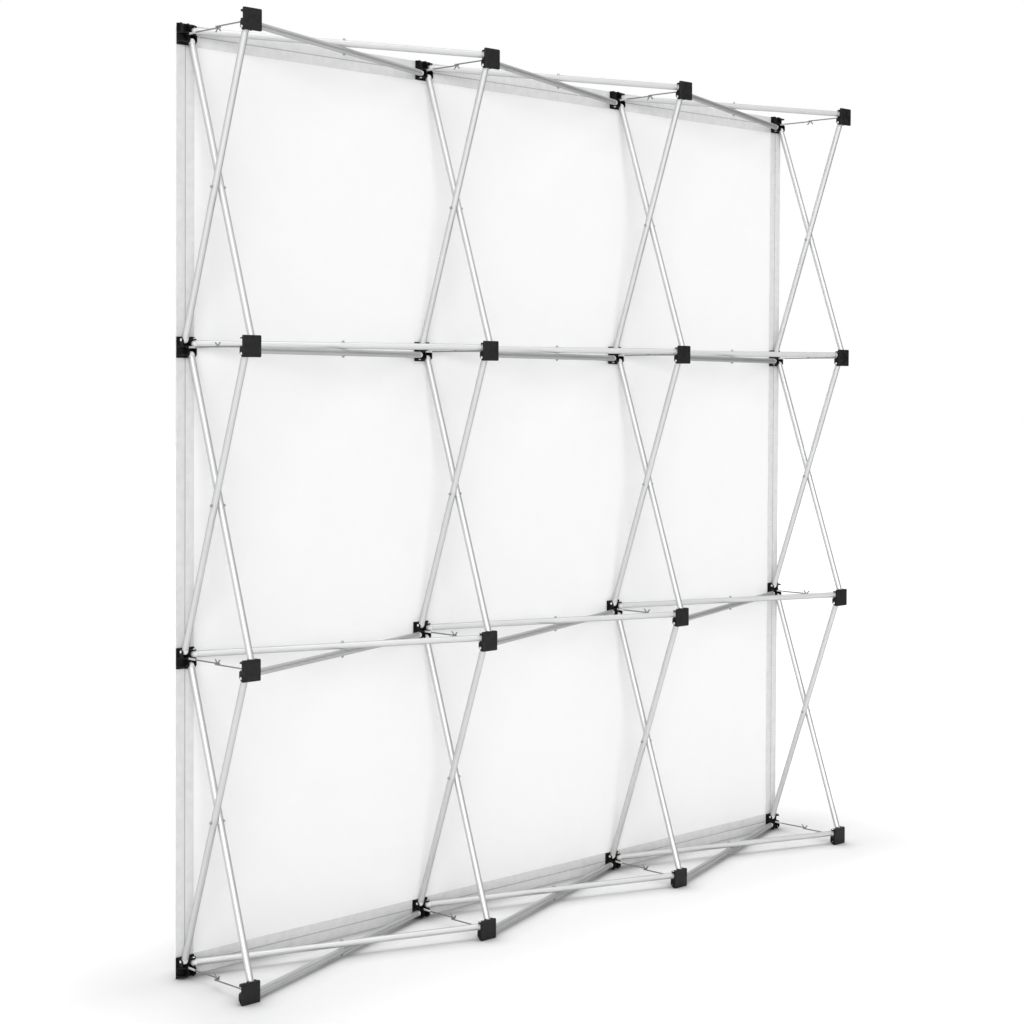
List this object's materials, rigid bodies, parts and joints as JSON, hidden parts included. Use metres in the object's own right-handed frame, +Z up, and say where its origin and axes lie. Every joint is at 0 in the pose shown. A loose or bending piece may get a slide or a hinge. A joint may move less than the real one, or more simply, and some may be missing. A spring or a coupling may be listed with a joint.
{
  "type": "pop-up display wall",
  "caption": "Free-standing folding scissor frame of aluminium tubes and square plastic hubs that stretches a plain fabric panel, with hooked lock rods behind it.",
  "frame": {"origin": "on the floor under the middle of the wall: the centre of the bounding box's bottom", "axes": "+X along the wall, to the viewer's left when seen from behind; +Y to the back, where the frame is open; +Z up. The fabric panel faces -Y"},
  "size_m": [2.255, 0.274, 2.255],
  "materials": {
    "hub": "moulded black plastic, low sheen",
    "cap": "fine grained black plastic",
    "tube": "satin anodised",
    "plug": "smooth light grey plastic",
    "washer": "smooth light grey plastic",
    "rivet": "turned steel",
    "pin": "bright steel",
    "rod": "bare drawn steel wire",
    "panel_fabric": "smooth white knitted polyester",
    "tape": "light grey loop tape",
    "hook_pad": "black hook tape"
  },
  "bodies": {
    "frame": {"fabric_panel": "panel_fabric", "tape_band": "tape", "hook_pads": "hook_pad", "rear_hub_caps": "cap", "front_hubs_row_1": "hub", "front_hubs_row_2": "hub", "front_hubs_row_3": "hub", "front_hubs_row_4": "hub", "rear_hubs_row_1": "hub", "rear_hubs_row_2": "hub", "rear_hubs_row_3": "hub", "rear_hubs_row_4": "hub", "row_braces_row_1": "tube", "row_braces_row_2": "tube", "row_braces_row_3": "tube", "row_braces_row_4": "tube", "column_braces_column_1": "tube", "column_braces_column_2": "tube", "column_braces_column_3": "tube", "column_braces_column_4": "tube", "row_brace_plugs": "plug", "column_brace_plugs": "plug", "crossing_rivets": "rivet", "crossing_washers": "washer", "row_brace_pins": "pin", "column_brace_pins": "pin", "rod_pins": "pin"},
    "front_rod_row_1_column_1": {"front_rod_row_1_column_1": "rod"},
    "rear_rod_row_1_column_1": {"rear_rod_row_1_column_1": "rod"},
    "front_rod_row_1_column_2": {"front_rod_row_1_column_2": "rod"},
    "rear_rod_row_1_column_2": {"rear_rod_row_1_column_2": "rod"},
    "front_rod_row_1_column_3": {"front_rod_row_1_column_3": "rod"},
    "rear_rod_row_1_column_3": {"rear_rod_row_1_column_3": "rod"},
    "front_rod_row_1_column_4": {"front_rod_row_1_column_4": "rod"},
    "rear_rod_row_1_column_4": {"rear_rod_row_1_column_4": "rod"},
    "front_rod_row_2_column_1": {"front_rod_row_2_column_1": "rod"},
    "rear_rod_row_2_column_1": {"rear_rod_row_2_column_1": "rod"},
    "front_rod_row_2_column_2": {"front_rod_row_2_column_2": "rod"},
    "rear_rod_row_2_column_2": {"rear_rod_row_2_column_2": "rod"},
    "front_rod_row_2_column_3": {"front_rod_row_2_column_3": "rod"},
    "rear_rod_row_2_column_3": {"rear_rod_row_2_column_3": "rod"},
    "front_rod_row_2_column_4": {"front_rod_row_2_column_4": "rod"},
    "rear_rod_row_2_column_4": {"rear_rod_row_2_column_4": "rod"},
    "front_rod_row_3_column_1": {"front_rod_row_3_column_1": "rod"},
    "rear_rod_row_3_column_1": {"rear_rod_row_3_column_1": "rod"},
    "front_rod_row_3_column_2": {"front_rod_row_3_column_2": "rod"},
    "rear_rod_row_3_column_2": {"rear_rod_row_3_column_2": "rod"},
    "front_rod_row_3_column_3": {"front_rod_row_3_column_3": "rod"},
    "rear_rod_row_3_column_3": {"rear_rod_row_3_column_3": "rod"},
    "front_rod_row_3_column_4": {"front_rod_row_3_column_4": "rod"},
    "rear_rod_row_3_column_4": {"rear_rod_row_3_column_4": "rod"},
    "front_rod_row_4_column_1": {"front_rod_row_4_column_1": "rod"},
    "rear_rod_row_4_column_1": {"rear_rod_row_4_column_1": "rod"},
    "front_rod_row_4_column_2": {"front_rod_row_4_column_2": "rod"},
    "rear_rod_row_4_column_2": {"rear_rod_row_4_column_2": "rod"},
    "front_rod_row_4_column_3": {"front_rod_row_4_column_3": "rod"},
    "rear_rod_row_4_column_3": {"rear_rod_row_4_column_3": "rod"},
    "front_rod_row_4_column_4": {"front_rod_row_4_column_4": "rod"},
    "rear_rod_row_4_column_4": {"rear_rod_row_4_column_4": "rod"}
  },
  "joints": [
    {"name": "front_rod_row_1_column_1_swing", "type": "hinge", "parent": "frame", "child": "front_rod_row_1_column_1", "pos_m": [1.1025, -0.119, 0.025], "axis": [1, 0, 0], "range_deg": [-45, 0]},
    {"name": "rear_rod_row_1_column_1_swing", "type": "hinge", "parent": "frame", "child": "rear_rod_row_1_column_1", "pos_m": [1.1025, 0.12, 0.025], "axis": [1, 0, 0], "range_deg": [-45, 0]},
    {"name": "front_rod_row_1_column_2_swing", "type": "hinge", "parent": "frame", "child": "front_rod_row_1_column_2", "pos_m": [0.3675, -0.119, 0.025], "axis": [1, 0, 0], "range_deg": [-45, 0]},
    {"name": "rear_rod_row_1_column_2_swing", "type": "hinge", "parent": "frame", "child": "rear_rod_row_1_column_2", "pos_m": [0.3675, 0.12, 0.025], "axis": [1, 0, 0], "range_deg": [-45, 0]},
    {"name": "front_rod_row_1_column_3_swing", "type": "hinge", "parent": "frame", "child": "front_rod_row_1_column_3", "pos_m": [-0.3675, -0.119, 0.025], "axis": [1, 0, 0], "range_deg": [-45, 0]},
    {"name": "rear_rod_row_1_column_3_swing", "type": "hinge", "parent": "frame", "child": "rear_rod_row_1_column_3", "pos_m": [-0.3675, 0.12, 0.025], "axis": [1, 0, 0], "range_deg": [-45, 0]},
    {"name": "front_rod_row_1_column_4_swing", "type": "hinge", "parent": "frame", "child": "front_rod_row_1_column_4", "pos_m": [-1.1025, -0.119, 0.025], "axis": [1, 0, 0], "range_deg": [-45, 0]},
    {"name": "rear_rod_row_1_column_4_swing", "type": "hinge", "parent": "frame", "child": "rear_rod_row_1_column_4", "pos_m": [-1.1025, 0.12, 0.025], "axis": [1, 0, 0], "range_deg": [-45, 0]},
    {"name": "front_rod_row_2_column_1_swing", "type": "hinge", "parent": "frame", "child": "front_rod_row_2_column_1", "pos_m": [1.1025, -0.119, 0.76], "axis": [1, 0, 0], "range_deg": [-45, 0]},
    {"name": "rear_rod_row_2_column_1_swing", "type": "hinge", "parent": "frame", "child": "rear_rod_row_2_column_1", "pos_m": [1.1025, 0.12, 0.76], "axis": [1, 0, 0], "range_deg": [-45, 0]},
    {"name": "front_rod_row_2_column_2_swing", "type": "hinge", "parent": "frame", "child": "front_rod_row_2_column_2", "pos_m": [0.3675, -0.119, 0.76], "axis": [1, 0, 0], "range_deg": [-45, 0]},
    {"name": "rear_rod_row_2_column_2_swing", "type": "hinge", "parent": "frame", "child": "rear_rod_row_2_column_2", "pos_m": [0.3675, 0.12, 0.76], "axis": [1, 0, 0], "range_deg": [-45, 0]},
    {"name": "front_rod_row_2_column_3_swing", "type": "hinge", "parent": "frame", "child": "front_rod_row_2_column_3", "pos_m": [-0.3675, -0.119, 0.76], "axis": [1, 0, 0], "range_deg": [-45, 0]},
    {"name": "rear_rod_row_2_column_3_swing", "type": "hinge", "parent": "frame", "child": "rear_rod_row_2_column_3", "pos_m": [-0.3675, 0.12, 0.76], "axis": [1, 0, 0], "range_deg": [-45, 0]},
    {"name": "front_rod_row_2_column_4_swing", "type": "hinge", "parent": "frame", "child": "front_rod_row_2_column_4", "pos_m": [-1.1025, -0.119, 0.76], "axis": [1, 0, 0], "range_deg": [-45, 0]},
    {"name": "rear_rod_row_2_column_4_swing", "type": "hinge", "parent": "frame", "child": "rear_rod_row_2_column_4", "pos_m": [-1.1025, 0.12, 0.76], "axis": [1, 0, 0], "range_deg": [-45, 0]},
    {"name": "front_rod_row_3_column_1_swing", "type": "hinge", "parent": "frame", "child": "front_rod_row_3_column_1", "pos_m": [1.1025, -0.119, 1.495], "axis": [1, 0, 0], "range_deg": [-45, 0]},
    {"name": "rear_rod_row_3_column_1_swing", "type": "hinge", "parent": "frame", "child": "rear_rod_row_3_column_1", "pos_m": [1.1025, 0.12, 1.495], "axis": [1, 0, 0], "range_deg": [-45, 0]},
    {"name": "front_rod_row_3_column_2_swing", "type": "hinge", "parent": "frame", "child": "front_rod_row_3_column_2", "pos_m": [0.3675, -0.119, 1.495], "axis": [1, 0, 0], "range_deg": [-45, 0]},
    {"name": "rear_rod_row_3_column_2_swing", "type": "hinge", "parent": "frame", "child": "rear_rod_row_3_column_2", "pos_m": [0.3675, 0.12, 1.495], "axis": [1, 0, 0], "range_deg": [-45, 0]},
    {"name": "front_rod_row_3_column_3_swing", "type": "hinge", "parent": "frame", "child": "front_rod_row_3_column_3", "pos_m": [-0.3675, -0.119, 1.495], "axis": [1, 0, 0], "range_deg": [-45, 0]},
    {"name": "rear_rod_row_3_column_3_swing", "type": "hinge", "parent": "frame", "child": "rear_rod_row_3_column_3", "pos_m": [-0.3675, 0.12, 1.495], "axis": [1, 0, 0], "range_deg": [-45, 0]},
    {"name": "front_rod_row_3_column_4_swing", "type": "hinge", "parent": "frame", "child": "front_rod_row_3_column_4", "pos_m": [-1.1025, -0.119, 1.495], "axis": [1, 0, 0], "range_deg": [-45, 0]},
    {"name": "rear_rod_row_3_column_4_swing", "type": "hinge", "parent": "frame", "child": "rear_rod_row_3_column_4", "pos_m": [-1.1025, 0.12, 1.495], "axis": [1, 0, 0], "range_deg": [-45, 0]},
    {"name": "front_rod_row_4_column_1_swing", "type": "hinge", "parent": "frame", "child": "front_rod_row_4_column_1", "pos_m": [1.1025, -0.119, 2.23], "axis": [1, 0, 0], "range_deg": [0, 45]},
    {"name": "rear_rod_row_4_column_1_swing", "type": "hinge", "parent": "frame", "child": "rear_rod_row_4_column_1", "pos_m": [1.1025, 0.12, 2.23], "axis": [1, 0, 0], "range_deg": [0, 45]},
    {"name": "front_rod_row_4_column_2_swing", "type": "hinge", "parent": "frame", "child": "front_rod_row_4_column_2", "pos_m": [0.3675, -0.119, 2.23], "axis": [1, 0, 0], "range_deg": [0, 45]},
    {"name": "rear_rod_row_4_column_2_swing", "type": "hinge", "parent": "frame", "child": "rear_rod_row_4_column_2", "pos_m": [0.3675, 0.12, 2.23], "axis": [1, 0, 0], "range_deg": [0, 45]},
    {"name": "front_rod_row_4_column_3_swing", "type": "hinge", "parent": "frame", "child": "front_rod_row_4_column_3", "pos_m": [-0.3675, -0.119, 2.23], "axis": [1, 0, 0], "range_deg": [0, 45]},
    {"name": "rear_rod_row_4_column_3_swing", "type": "hinge", "parent": "frame", "child": "rear_rod_row_4_column_3", "pos_m": [-0.3675, 0.12, 2.23], "axis": [1, 0, 0], "range_deg": [0, 45]},
    {"name": "front_rod_row_4_column_4_swing", "type": "hinge", "parent": "frame", "child": "front_rod_row_4_column_4", "pos_m": [-1.1025, -0.119, 2.23], "axis": [1, 0, 0], "range_deg": [0, 45]},
    {"name": "rear_rod_row_4_column_4_swing", "type": "hinge", "parent": "frame", "child": "rear_rod_row_4_column_4", "pos_m": [-1.1025, 0.12, 2.23], "axis": [1, 0, 0], "range_deg": [0, 45]}
  ]
}
